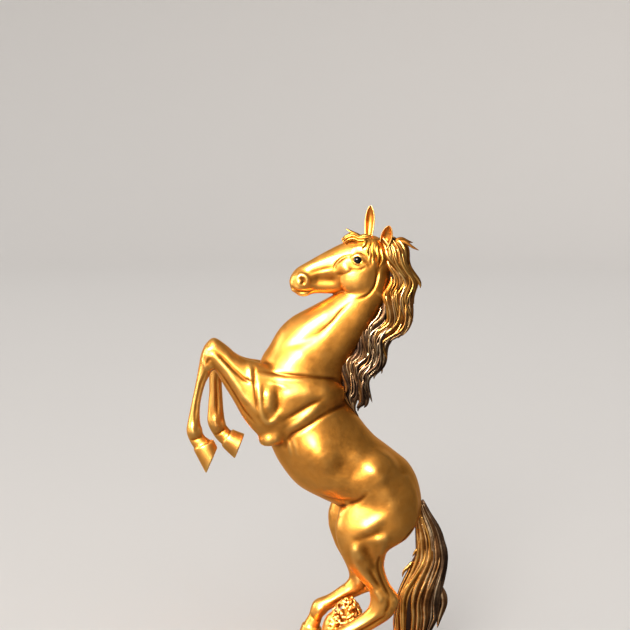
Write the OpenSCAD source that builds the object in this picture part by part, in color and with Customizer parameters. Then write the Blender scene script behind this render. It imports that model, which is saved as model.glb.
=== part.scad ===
// Statue of a rearing horse on an oval ground, built up from separate castings.
// The horse faces -X, its left side is towards -Y and +Z is up.
// The origin is the middle of the ground's underside, on the surface that the statue stands on.

/* [Statue] */
// Height from the standing surface to the tip of the right ear
statue_h = 300; // [240:10:400]

/* [Ground] */
// Length of the oval ground, along the horse
ground_l = 104; // [100:1:116]
// Width of the oval ground
ground_w = 62; // [58:1:76]
// Height of the ground's top under the hooves
ground_top = 14; // [13.5:0.1:14.5]
// Thickness of the felt pad under the ground
felt_t = 1.5; // [1:0.1:2]

/* [Fixings] */
// Diameter of the threaded studs that hold the hooves and the tail
stud_d = 4; // [3:0.5:4]
// Diameter of the locating dowels between the castings
dowel_d = 4; // [3:0.5:5]

/* [Detail] */
// Points around each casting's cross-section
ring_points = 16; // [12:2:20]
// Rings between two neighbouring ribs
rings_per_rib = 2; // [1:1:3]

/* [Hidden] */

gold = [0.83, 0.58, 0.20];
antique = [0.36, 0.24, 0.12];
steel = [0.70, 0.71, 0.73];
drawn_h = 300;             // the height at which the ribs below are drawn
LEFT = -1;                 // the horse's left side, towards -Y
RIGHT = 1;

// A rib is one cross-section: [front x, front z, back x, back z, middle y, half width].
// Front is the belly, chest or shin side, and back is the spine or heel side.
trunk_ribs = [
    [-4, 250, 22, 266, 0, 8], [-14, 244.5, 21.5, 248, 0, 9.5], [-27, 237.5, 15.5, 235, 0, 11],
    [-38, 231.5, 8, 221, 0, 12.5], [-46, 224, 0.5, 210.5, 0, 14.5], [-52, 214, -5.5, 200, 0, 17],
    [-57, 206, -6.5, 189, 0, 19.5], [-60, 195, -3, 177.5, 0, 21], [-60, 180, 3.5, 168.5, 0, 21.5],
    [-56, 164, 8, 162.5, 0, 22], [-51.5, 151, 14, 156, 0, 22.5], [-45.5, 139, 20.5, 151, 0, 23],
    [-35.5, 126.5, 27.5, 145.5, 0, 23], [-22, 118.5, 34.5, 139.5, 0, 22], [-9, 112.5, 39.5, 131, 0, 22],
    [4, 106, 42.5, 120, 0, 22], [16, 101, 43, 110, 0, 18.5], [28, 98, 41.5, 104, 0, 12],
    [35, 98.5, 39, 101, 0, 5]
];
head_ribs = [
    [15, 260, 19, 274, 0, 5], [13.5, 254, 15, 280, 0, 8.5], [8.5, 247, 10, 281.5, 0, 10],
    [2.5, 243.8, 4, 280.5, 0, 10.3], [-5, 244.3, -3, 278.5, 0, 9.3], [-12, 245.8, -9, 276, 0, 7.4],
    [-18, 246, -15, 273, 0, 6.2], [-24, 246, -22, 269.2, 0, 5.6], [-29.5, 244.4, -29, 265.4, 0, 5.9],
    [-33.5, 244.4, -35, 261.8, 0, 6.2], [-37.3, 247, -38.4, 257.6, 0, 4.8],
    [-39.2, 250, -39.8, 253.8, 0, 2.2]
];
left_fore_ribs = [
    [-6, 189, -6, 182, -7, 2.5], [-16, 194, -15, 177, -11.5, 7], [-28, 198, -27, 169.5, -12, 9.3],
    [-40, 200.5, -38, 160, -12.5, 10], [-50, 203, -48, 155.5, -13, 9.8],
    [-59.5, 206.2, -57, 159.5, -14, 9.6], [-66, 207.8, -66.5, 170, -14, 8.8],
    [-71.5, 210.8, -74, 183.3, -14, 7.8], [-77, 215.8, -79, 191.5, -14, 6.9],
    [-84.5, 220.6, -83.5, 199.5, -14, 6.4], [-89.5, 217.3, -84.8, 201, -14, 6.2],
    [-92.6, 211, -86.2, 200.2, -14, 5.7], [-94.2, 203, -87.6, 197.6, -14, 4.7],
    [-96, 194, -90.6, 191.8, -14, 3.8], [-98.6, 182, -93.4, 181, -14, 3.4],
    [-100.8, 172, -94, 171.2, -14, 3.6], [-102.2, 163.5, -93, 164, -14, 4.6],
    [-100.3, 157, -91.2, 160, -14, 4.2], [-97, 151.2, -86.9, 156.5, -14, 5.2],
    [-89.5, 139.2, -83.3, 153.5, -14, 6.4]
];
right_fore_ribs = [
    [-6, 189, -6, 182, 7, 2.5], [-16, 194, -15, 177, 11.5, 7], [-28, 198, -27, 169.5, 12, 9.3],
    [-40, 199.5, -38, 160.5, 12.3, 10], [-50, 200.5, -48, 157, 12.5, 9.6],
    [-59.5, 202.5, -57, 164, 13, 9.2], [-66, 203.5, -66.5, 174.5, 13, 8.4], [-72, 205.5, -73, 184, 13, 7.4],
    [-78, 209.5, -78, 190, 13, 6.6], [-84, 212.5, -80.6, 194, 13, 6.2], [-89, 209, -81.8, 194.6, 13, 5.9],
    [-91, 202, -82.7, 193.2, 13, 5.2], [-91.2, 193, -83, 189, 13, 4.4], [-91.3, 182, -82.8, 179.5, 13, 3.9],
    [-92.2, 171, -82.2, 169.5, 13, 4], [-92.4, 161.5, -81.2, 161.5, 13, 4.8],
    [-88, 152.6, -79.6, 158.8, 13, 4.2], [-82.6, 146.8, -77, 155.8, 13, 5.2],
    [-75.9, 139, -69.5, 153.6, 13, 6.4]
];
left_hind_ribs = [
    [10, 141, 33, 134, -11, 5], [1, 131, 38, 124, -11.5, 9], [-7, 117, 39, 112.5, -11.5, 11],
    [-11, 106, 37.3, 103.5, -12.5, 11.5], [-11.3, 99, 33, 98, -13, 11], [-10.3, 93, 26.8, 92.5, -13, 10.3],
    [-8.4, 87.3, 20.9, 86.7, -13, 9.3], [-5, 79.8, 19.2, 81, -13, 8], [-0.6, 73.6, 19, 76.4, -13, 6.9],
    [4, 68, 20.5, 70.5, -13, 6], [8.6, 63.4, 23.2, 64.5, -13, 5.2], [10.3, 58, 27.3, 58.9, -13, 5.5],
    [10.2, 52.6, 28.4, 54.4, -13, 5.7], [8.2, 48.4, 24.5, 45, -13, 5.1], [3.3, 44.3, 14.5, 37.4, -13, 4.3],
    [-3.2, 40, 4.2, 31.6, -13, 4], [-11.8, 35, -3.6, 26.4, -13, 4.8], [-16.6, 29.6, -7.6, 23.6, -13, 4.4],
    [-19, 25, -7.6, 21.8, -13, 5.4], [-23, 14, -7.5, 14, -13, 6.9]
];
right_hind_ribs = [
    [10, 141, 33, 134, 11, 5], [0, 131, 37, 124, 11.5, 9], [-10, 117, 37, 112, 11.5, 10.5],
    [-15, 105, 34, 102, 12.3, 11.2], [-15.3, 96, 28, 94.5, 12.5, 11], [-13.5, 88.5, 21, 88, 13, 9.8],
    [-10.5, 80.5, 15, 81, 13, 8.3], [-6.5, 73, 12.6, 75, 13, 7], [-3.2, 66, 12.4, 68.6, 13, 6],
    [-1.8, 61, 14, 63, 13, 5.2], [-2.2, 57.8, 16.4, 58.2, 13, 5.6], [-4.5, 54.8, 14.4, 51.8, 13, 5.4],
    [-9.7, 51, -1.6, 43.6, 13, 4.3], [-15.8, 46.8, -10, 39.4, 13, 4], [-24.8, 42.4, -17.6, 34.2, 13, 4.8],
    [-28.2, 33.2, -20, 28.6, 13, 4.4], [-32, 26.8, -20.8, 23.8, 13, 5.4], [-37, 14, -21.5, 14, 13, 6.9]
];
tail_ribs = [
    [37, 112, 44, 116, 0, 3.5], [39, 103.5, 49, 105.5, 0, 4.5], [41, 96, 54.5, 95, 0, 5.5],
    [40.6, 86, 58, 86, 0, 6.8], [39.5, 76, 58.5, 76, 0, 7.8], [35.5, 67, 57, 66, 0, 8.4],
    [31.5, 57, 54, 56, 0, 8.6], [29, 47, 51, 46, 0, 8.4], [26.6, 37, 48.5, 36, 0, 8],
    [25, 27, 46, 26, 0, 7.4], [25.6, 19, 42.5, 19, 0, 6.6], [27, 14, 40.5, 14, 0, 5.6]
];
tail_lock_ribs = [
    [54, 90, 57.5, 93, 0, 2], [55, 82, 60.2, 82, 0, 4.5], [54.5, 72, 60.4, 71, -1, 5.5],
    [52, 60, 58.6, 59, -1.5, 5.5], [49, 48, 56, 47, -2, 5], [47.5, 38, 55, 38, -2, 4],
    [51, 31.8, 55.4, 33, -2, 1.6]
];
forelock_ribs = [
    [16, 272, 16, 282, 0, 4], [9, 272, 10, 283.3, 0, 5], [3, 272, 4, 283.5, 0, 5.2],
    [-1, 274, -1.4, 284.4, 0, 4.8], [-4.6, 276, -4.6, 285.8, 0, 3.2], [-6.6, 276, -6.8, 281, 0, 1.4]
];

// The mane's ribs, from the poll down the crest of the neck to the withers.
mane_ribs = [
    [17, 279.5, 27, 279.5, 0, 3.5], [19, 271, 33, 269.5, 0, 4], [20, 261, 34.5, 257.5, 0, 4.2],
    [20, 250.5, 36.5, 243.5, 0, 4.4], [16.5, 241.5, 34.5, 231, 0, 4.4], [10.5, 230.5, 27, 219, 0, 4.2],
    [4.5, 222, 20, 206, 0, 4.2], [-1.5, 214, 15, 196, 0, 4], [-6.5, 206, 12, 188.5, 0, 3.8],
    [-9, 197, 8, 180.5, 0, 3.4], [-9, 188, 5.5, 175, 0, 3], [-7, 182, 2.5, 171, 0, 2]
];

lock_step = 0.07;          // how far the locks step out and in along the mane, as a share of its depth

// Joint faces between the castings: [x, z] on the face and the face's tilt about Y.
neck_joint = [-30, 197, 6.5];
foreleg_joint = [-58.5, 183, -8.7];
hind_joint = [13, 105.5, 15];

// Where the studs stand: [x, y, how far the stud reaches above the ground's top].
hoof_studs_at = [[-15, -13, 9], [-29, 13, 9]];
tail_stud_at = [34, 0, 14];
stud_end = 2.4;
nut_flats = 7;
nut_t = 3.2;
washer_d = 9;
washer_t = 0.8;
pocket_d = 12;
pocket_top = 6.6;
bore_gap = 0.2;            // radial room around a stud in the ground
seat_gap = 0.04;           // radial room around a stud or dowel in a casting
big = 400;

function mid_of(r) = [(r[0] + r[2]) / 2, r[4], (r[1] + r[3]) / 2];

// Catmull-Rom value of a list of rows at t, counted in rows.
function row_at(rows, t) =
    let (n = len(rows) - 1, i = min(floor(t), n - 1), u = t - i,
         a = rows[max(i - 1, 0)], b = rows[i], c = rows[i + 1], d = rows[min(i + 2, n)])
    b + 0.5 * u * ((c - a) + u * ((2 * a - 5 * b + 4 * c - d) + u * (3 * (b - c) + d - a)));

function smooth_rows(rows, steps) =
    [for (i = [0 : (len(rows) - 1) * steps]) row_at(rows, i / steps)];

// One ring of points round a rib.
function ring(r, sides) =
    let (c = mid_of(r), half = [r[2] - r[0], 0, r[3] - r[1]] / 2)
    [for (k = [0 : sides - 1]) let (a = 360 * k / sides) c + half * cos(a) + [0, r[5] * sin(a), 0]];

function total(list) = [for (row = list) 1] * list;
function mean(list) = total(list) / len(list);
function reversed(list) = [for (i = [len(list) - 1 : -1 : 0]) list[i]];

// Twice the area that a ring encloses, as a vector.
function area_vector(r) = total([for (k = [0 : len(r) - 1]) cross(r[k], r[(k + 1) % len(r)])]);

// Closed surface through rings of equal length, with a fan over each end.
module skin(rings) {
    sides = len(rings[0]);
    n = len(rings);
    forward = area_vector(rings[0]) * (mean(rings[1]) - mean(rings[0])) > 0;
    points = concat([for (r = rings) each (forward ? reversed(r) : r)], [mean(rings[0]), mean(rings[n - 1])]);
    walls = [for (i = [0 : n - 2], k = [0 : sides - 1])
        let (a = i * sides + k, b = i * sides + (k + 1) % sides)
        each [[a, b, b + sides], [a, b + sides, a + sides]]];
    ends = [for (k = [0 : sides - 1]) let (m = (k + 1) % sides)
        each [[n * sides, m, k], [n * sides + 1, (n - 1) * sides + k, (n - 1) * sides + m]]];
    polyhedron(points, concat(walls, ends), convexity = 8);
}

module ribbed(rows, sides = ring_points) {
    skin([for (r = smooth_rows(rows, rings_per_rib)) ring(r, sides)]);
}

// A muscle or a knuckle: two balls and the skin stretched over them.
module muscle(a, ra, b, rb) {
    hull() {
        translate(a) sphere(ra, $fn = 12);
        translate(b) sphere(rb, $fn = 12);
    }
}

module both_sides() {
    for (side = [LEFT, RIGHT])
        scale([1, side, 1]) children();
}

module head_muscles() {
    both_sides() {
        muscle([3, 4.6, 255], 6.8, [4, 4.6, 253], 6.8);
        muscle([-31, 3, 257], 3.4, [-33, 3.2, 255], 3.2);
        muscle([0, 6.6, 270], 3.2, [5, 7, 270], 3);
        muscle([11, 4, 274], 6, [16, 4, 268], 6.5);
    }
}

module foreleg(side) {
    ribbed(side == LEFT ? left_fore_ribs : right_fore_ribs, 12);
}

module hind_leg(side) {
    ribbed(side == LEFT ? left_hind_ribs : right_hind_ribs, 12);
}

// The trunk with the neck and the head.
module body() {
    ribbed(trunk_ribs);
    ribbed(head_ribs, 14);
    head_muscles();
    muscle([15, 0, 262], 5, [7, 0, 257], 6);
    both_sides() muscle([-54, 15.4, 186], 7.2, [-53, 15.4, 177], 6.8);
}

// The bare horse, for the add-on pieces to be fitted against.
module horse() {
    body();
    for (side = [LEFT, RIGHT]) {
        foreleg(side);
        hind_leg(side);
    }
}

// A tilted block that fills one side of a joint face: +1 above or behind it, -1 below or in front of it.
module past_joint(joint, way, upright = true) {
    translate([joint[0], 0, joint[1]])
        rotate([0, joint[2], 0])
            translate(upright ? [0, 0, way * big / 2] : [way * big / 2, 0, 0])
                cube(big, center = true);
}

module dowel(joint, at, length, upright = true, grow = 0) {
    translate([joint[0], 0, joint[1]])
        rotate([0, joint[2], 0])
            translate(at)
                rotate(upright ? [0, 0, 0] : [0, 90, 0])
                    cylinder(d = dowel_d + 2 * grow, h = length, center = true, $fn = 24);
}

module neck_pins(grow = 0) {
    for (x = [-12, 10])
        dowel(neck_joint, [x, 0, 0], 24 + 2 * grow, grow = grow);
}

module foreleg_pins(grow = 0) {
    for (side = [LEFT, RIGHT])
        dowel(foreleg_joint, [0, side * 13.5, 4], 18 + 2 * grow, upright = false, grow = grow);
}

module hind_leg_pins(grow = 0) {
    for (side = [LEFT, RIGHT])
        dowel(hind_joint, [0, side * 13, 0], 20 + 2 * grow, grow = grow);
}

module tail_pin(grow = 0) {
    translate([41.5, 0, 110]) rotate([0, 128, 0])
        cylinder(d = dowel_d - 1 + 2 * grow, h = 14 + 2 * grow, center = true, $fn = 24);
}

module stud(at, grow = 0) {
    translate([at[0], at[1], stud_end])
        cylinder(d = stud_d + 2 * grow, h = ground_top + at[2] - stud_end + grow, $fn = 32);
}

module all_pins() {
    neck_pins(seat_gap);
    foreleg_pins(seat_gap);
    hind_leg_pins(seat_gap);
    tail_pin(seat_gap);
    for (at = hoof_studs_at)
        stud(at, seat_gap);
}

// A casting less the seats for the studs and dowels; resize with no sizes joins it into one mesh.
module casting(finish = gold) {
    color(finish)
        resize([0, 0, 0])
            difference() {
                children();
                all_pins();
                translate([0, 0, ground_top - big / 2]) cube([big, big, big], center = true);
            }
}

module foreleg_past_joint(side, way) {
    intersection() {
        foreleg(side);
        past_joint(foreleg_joint, way, upright = false);
    }
}

module hind_leg_past_joint(side, way) {
    intersection() {
        hind_leg(side);
        past_joint(hind_joint, way);
    }
}

module torso_casting() {
    casting()
        difference() {
            union() {
                body();
                for (side = [LEFT, RIGHT]) {
                    foreleg_past_joint(side, 1);
                    hind_leg_past_joint(side, 1);
                }
            }
            past_joint(neck_joint, 1);
        }
}

module neck_and_head_casting() {
    casting()
        difference() {
            union() {
                body();
                for (side = [LEFT, RIGHT]) foreleg_past_joint(side, 1);
            }
            past_joint(neck_joint, -1);
            for (side = [LEFT, RIGHT]) eye(side, 0.1);
        }
}

module foreleg_casting(side) {
    casting()
        difference() {
            foreleg_past_joint(side, -1);
            body();
        }
}

module hind_leg_casting(side) {
    casting()
        difference() {
            hind_leg_past_joint(side, -1);
            ribbed(trunk_ribs);
        }
}

// A shell-shaped ear: [base, middle, tip] points with their radii.
module ear(points, radii) {
    color(gold)
        difference() {
            for (i = [0, 1])
                muscle(points[i], radii[i], points[i + 1], radii[i + 1]);
            horse();
        }
}

module left_ear() {
    ear([[17.5, -7, 276.5], [19.2, -8, 282], [20.6, -8.4, 286.6]], [3.6, 2.7, 0.7]);
}

module right_ear() {
    ear([[9, 6.5, 280], [9.6, 7, 291], [10.2, 7, drawn_h - 0.8]], [2.2, 2.8, 0.8]);
}

module eye(side, grow = 0) {
    color([0.03, 0.03, 0.035])
        translate([1.6, side * 8.1, 267]) sphere(2.7 + grow, $fn = 24);
}

module forelock() {
    casting()
        difference() {
            ribbed(forelock_ribs, 10);
            horse();
            left_ear();
            right_ear();
        }
}

// Ribs of one stretch of the mane; its outer edge steps out and in from lock to lock.
function mane_rows(first, last) =
    let (rows = smooth_rows([for (i = [first : last]) mane_ribs[i]], 3))
    [for (i = [0 : len(rows) - 1]) let (r = rows[i], step = 1 + lock_step * sin(120 * i))
        [r[0], r[1], r[0] + (r[2] - r[0]) * step, r[1] + (r[3] - r[1]) * step, r[4], r[5] * step]];

// A stretch of the mane between two of its ribs, less the pieces given as children.
module mane(first, last) {
    casting(antique)
        difference() {
            skin([for (r = mane_rows(first, last)) ring(r, 12)]);
            horse();
            children();
        }
}

module mane_upper_locks() {
    mane(0, 4) {
        forelock();
        left_ear();
        right_ear();
    }
}

module mane_middle_locks() {
    mane(4, 7) mane_upper_locks();
}

module mane_lower_locks() {
    mane(7, 11) mane_middle_locks();
}

module tail_casting() {
    casting(antique)
        difference() {
            ribbed(tail_ribs, 12);
            horse();
            stud(tail_stud_at, seat_gap);
        }
}

module tail_free_lock() {
    casting(antique)
        difference() {
            ribbed(tail_lock_ribs, 10);
            tail_casting();
        }
}

// Outline of the ground at one angle, as a fraction of the oval, so that its edge isn't a plain ellipse.
function edge_at(a) = 1 + 0.022 * sin(3 * a + 40) + 0.014 * sin(5 * a) + 0.01 * sin(9 * a + 15);
function outline(inset) =
    [for (a = [0 : 7.5 : 352.5])
        [(ground_l / 2 - inset) * cos(a) * edge_at(a), (ground_w / 2 - inset) * sin(a) * edge_at(a)]];

// Height of the ground's rim, which undulates below the level top that the hooves stand on.
function rim_z(a) = ground_top - 4.5 + 1.1 * sin(4 * a + 30) + 0.8 * sin(7 * a);

module ground_casting() {
    angles = [for (a = [0 : 7.5 : 352.5]) a];
    foot = outline(0);
    shoulder = outline(3);
    top = outline(8);
    rings = [
        [for (p = foot) [p[0], p[1], felt_t]],
        [for (i = [0 : len(angles) - 1]) [foot[i][0], foot[i][1], rim_z(angles[i]) - 3]],
        [for (i = [0 : len(angles) - 1]) [shoulder[i][0], shoulder[i][1], rim_z(angles[i]) + 1.6]],
        [for (p = top) [p[0], p[1], ground_top]]
    ];
    color(gold)
        difference() {
            skin(rings);
            for (at = concat(hoof_studs_at, [tail_stud_at])) {
                translate([at[0], at[1], 0])
                    cylinder(d = stud_d + 2 * bore_gap, h = ground_top + 10, $fn = 48);
                translate([at[0], at[1], 0])
                    cylinder(d = pocket_d, h = pocket_top, $fn = 48);
            }
        }
}

// A mound of small leaves between the hind legs, its buds set out on a golden-angle spiral.
module foliage_clump() {
    buds = 26;
    casting()
        difference() {
            union() {
                muscle([-13, 1, 20], 7.5, [-10, 1, 38], 6);
                muscle([-2, 1, 22], 8, [-2, 1, 44], 5);
                for (i = [0 : buds - 1])
                    let (t = (i + 0.5) / buds, a = 137.5 * i, r = 8.4 - 5 * t)
                        translate([7 * t - 9 + 1.4 * r * cos(a), 1 + 0.8 * r * sin(a), 16 + 31 * t])
                            sphere(3.1 - 0.6 * t, $fn = 8);
            }
            for (side = [LEFT, RIGHT]) hind_leg(side);
        }
}

module washer(at) {
    translate([at[0], at[1], pocket_top - washer_t])
        difference() {
            cylinder(d = washer_d, h = washer_t, $fn = 48);
            translate([0, 0, -1]) cylinder(d = stud_d + 2 * bore_gap, h = washer_t + 2, $fn = 48);
        }
}

module nut(at) {
    translate([at[0], at[1], pocket_top - washer_t - nut_t])
        difference() {
            cylinder(d = nut_flats / cos(30), h = nut_t, $fn = 6);
            translate([0, 0, -1]) cylinder(d = stud_d + 2 * seat_gap, h = nut_t + 2, $fn = 48);
        }
}

module hoof_studs() {
    color(steel) for (at = hoof_studs_at) stud(at);
}

module stud_washers() {
    color(steel) for (at = concat(hoof_studs_at, [tail_stud_at])) washer(at);
}

module stud_nuts() {
    color(steel) for (at = concat(hoof_studs_at, [tail_stud_at])) nut(at);
}

module felt_pad() {
    color([0.05, 0.12, 0.08]) linear_extrude(felt_t) polygon(outline(1.5));
}

module place() {
    scale(statue_h / drawn_h) children();
}

place() torso_casting();
place() neck_and_head_casting();
place() foreleg_casting(LEFT);  // left_foreleg_casting
place() foreleg_casting(RIGHT);  // right_foreleg_casting
place() hind_leg_casting(LEFT);  // left_hind_leg_casting
place() hind_leg_casting(RIGHT);  // right_hind_leg_casting
place() left_ear();
place() right_ear();
place() eye(LEFT);  // left_eye
place() eye(RIGHT);  // right_eye
place() forelock();
place() mane_upper_locks();
place() mane_middle_locks();
place() mane_lower_locks();
place() tail_casting();
place() tail_free_lock();
place() color(steel) neck_pins();  // neck_dowels
place() color(steel) foreleg_pins();  // foreleg_dowels
place() color(steel) hind_leg_pins();  // hind_leg_dowels
place() color(steel) tail_pin();  // tail_dowel
place() ground_casting();
place() foliage_clump();
place() hoof_studs();
place() color(steel) stud(tail_stud_at);  // tail_stud
place() stud_washers();
place() stud_nuts();
place() felt_pad();
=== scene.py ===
"""A cast statue of a rearing horse: the visual model over its CAD frame."""
import math
from functools import partial

import bmesh
import bpy
import numpy as np
import openvdb as vdb
from mathutils import Euler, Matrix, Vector


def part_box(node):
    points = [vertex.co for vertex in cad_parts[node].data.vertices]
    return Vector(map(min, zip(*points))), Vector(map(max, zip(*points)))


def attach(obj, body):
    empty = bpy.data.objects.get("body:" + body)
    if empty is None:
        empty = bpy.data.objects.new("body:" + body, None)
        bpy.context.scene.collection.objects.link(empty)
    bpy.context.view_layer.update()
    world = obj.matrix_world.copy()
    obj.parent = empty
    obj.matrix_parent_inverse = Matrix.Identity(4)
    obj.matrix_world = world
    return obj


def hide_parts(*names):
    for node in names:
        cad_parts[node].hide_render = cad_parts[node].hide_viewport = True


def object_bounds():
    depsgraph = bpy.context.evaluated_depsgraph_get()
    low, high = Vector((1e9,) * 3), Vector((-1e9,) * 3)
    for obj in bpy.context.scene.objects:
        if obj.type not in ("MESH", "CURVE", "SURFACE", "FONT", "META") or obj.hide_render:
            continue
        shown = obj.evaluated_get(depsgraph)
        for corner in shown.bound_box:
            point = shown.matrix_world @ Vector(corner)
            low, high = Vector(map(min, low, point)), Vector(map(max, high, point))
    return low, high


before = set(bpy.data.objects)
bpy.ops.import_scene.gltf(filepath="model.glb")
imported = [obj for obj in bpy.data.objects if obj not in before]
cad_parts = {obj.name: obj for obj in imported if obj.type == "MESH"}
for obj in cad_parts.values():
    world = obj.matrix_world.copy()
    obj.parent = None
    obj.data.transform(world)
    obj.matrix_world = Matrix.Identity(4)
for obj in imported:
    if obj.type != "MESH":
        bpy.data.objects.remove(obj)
CAD_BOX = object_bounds()

DRAWN_HEIGHT = 300                                        # every size below is in drawn millimetres
MM = (CAD_BOX[1].z - CAD_BOX[0].z) / DRAWN_HEIGHT         # one drawn millimetre, in metres
LEFT, RIGHT = -1, 1                                       # the horse's sides, along Y
GROUND_TOP = 14                                           # the height that the hooves stand at
FINE, MEDIUM, COARSE = 0.42, 0.46, 0.62                   # how closely the castings' clay is sampled
RNG = np.random.default_rng(7)


# ---------------- shapes

def spline(rows, steps):
    """Catmull-Rom curve through rows, with that many steps between neighbours."""
    rows = np.asarray(rows, float)
    n = len(rows) - 1
    t = np.linspace(0, n, n * steps + 1)
    i = np.minimum(t.astype(int), n - 1)
    u = (t - i)[:, None]
    a, b, c, d = rows[np.maximum(i - 1, 0)], rows[i], rows[i + 1], rows[np.minimum(i + 2, n)]
    return b + 0.5 * u * ((c - a) + u * ((2 * a - 5 * b + 4 * c - d) + u * (3 * (b - c) + d - a)))


def turn(count):
    """That many angles, evenly once round."""
    return np.linspace(0, 2 * np.pi, count, endpoint=False)


def skin(rings):
    """Closed surface through rings of points: (points, triangles, quads)."""
    n, sides, _ = rings.shape
    points = np.vstack([rings.reshape(-1, 3), rings[0].mean(0), rings[-1].mean(0)])
    k = np.arange(sides)
    m = (k + 1) % sides
    i = (np.arange(n - 1) * sides)[:, None]
    quads = np.stack([i + k, i + m, i + m + sides, i + k + sides], -1).reshape(-1, 4)
    last = (n - 1) * sides
    first_cap = np.stack([np.full(sides, n * sides), m, k], -1)
    last_cap = np.stack([np.full(sides, n * sides + 1), last + k, last + m], -1)
    return points, np.vstack([first_cap, last_cap]), quads


def loft(ribs, steps=10, sides=96):
    """Body through ribs [front x, front z, back x, back z, middle y, half width, egg].
    Egg widens a rib towards its back, or its front where it is negative, and may be left out."""
    r = spline([list(rib) + [0] * (7 - len(rib)) for rib in ribs], steps)
    a = turn(sides)
    middle, half = (r[:, 0:2] + r[:, 2:4]) / 2, (r[:, 2:4] - r[:, 0:2]) / 2
    x = middle[:, 0:1] + half[:, 0:1] * np.cos(a)
    z = middle[:, 1:2] + half[:, 1:2] * np.cos(a)
    y = r[:, 4:5] + r[:, 5:6] * np.sin(a) * (1 + r[:, 6:7] * np.cos(a))
    return skin(np.stack([x, y, z], -1))


def ball(centre, radii, tilt=0):
    """Ellipsoid, tilted about Y by that many degrees."""
    lat = np.radians(np.linspace(-88, 88, 31))[:, None]
    lon = turn(56)
    x = radii[0] * np.cos(lat) * np.cos(lon)
    y = radii[1] * np.cos(lat) * np.sin(lon)
    z = radii[2] * np.sin(lat) * np.ones_like(lon)
    c, s = math.cos(math.radians(tilt)), math.sin(math.radians(tilt))
    rings = np.stack([c * x + s * z, y, c * z - s * x], -1)
    return skin(rings + np.asarray(centre, float))


def frames(path):
    """In-plane normal and outward normal along a path that stays near the XZ plane."""
    tangent = np.gradient(path, axis=0)
    tangent /= np.linalg.norm(tangent, axis=1)[:, None] + 1e-9
    side = np.cross(tangent, [0, 1, 0])
    side /= np.linalg.norm(side, axis=1)[:, None] + 1e-9
    return side, np.cross(side, tangent)


def tube(path, radii, sides=16):
    """Round bar along a path, with a radius at each point."""
    side, out = frames(path)
    a = turn(sides)[:, None]
    ring = side[:, None] * np.cos(a) + out[:, None] * np.sin(a)
    return skin(path[:, None] + ring * np.asarray(radii)[:, None, None])


def closed_mesh(name, points, faces):
    """A smooth mesh from points in drawn millimetres, with its faces turned outwards."""
    mesh = bpy.data.meshes.new(name)
    mesh.from_pydata((points * MM).tolist(), [], faces)
    bm = bmesh.new()
    bm.from_mesh(mesh)
    bmesh.ops.recalc_face_normals(bm, faces=bm.faces)
    bm.to_mesh(mesh)
    bm.free()
    mesh.shade_smooth()
    return mesh


def cylinder(x, y, z0, z1, radius):
    """Upright round bar from z0 to z1."""
    a = turn(32)
    disc = np.stack([x + radius * np.cos(a), y + radius * np.sin(a), 0 * a], -1)
    return skin(np.stack([disc + [0, 0, z] for z in (z0, z1)]))


# ---------------- clay

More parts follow.
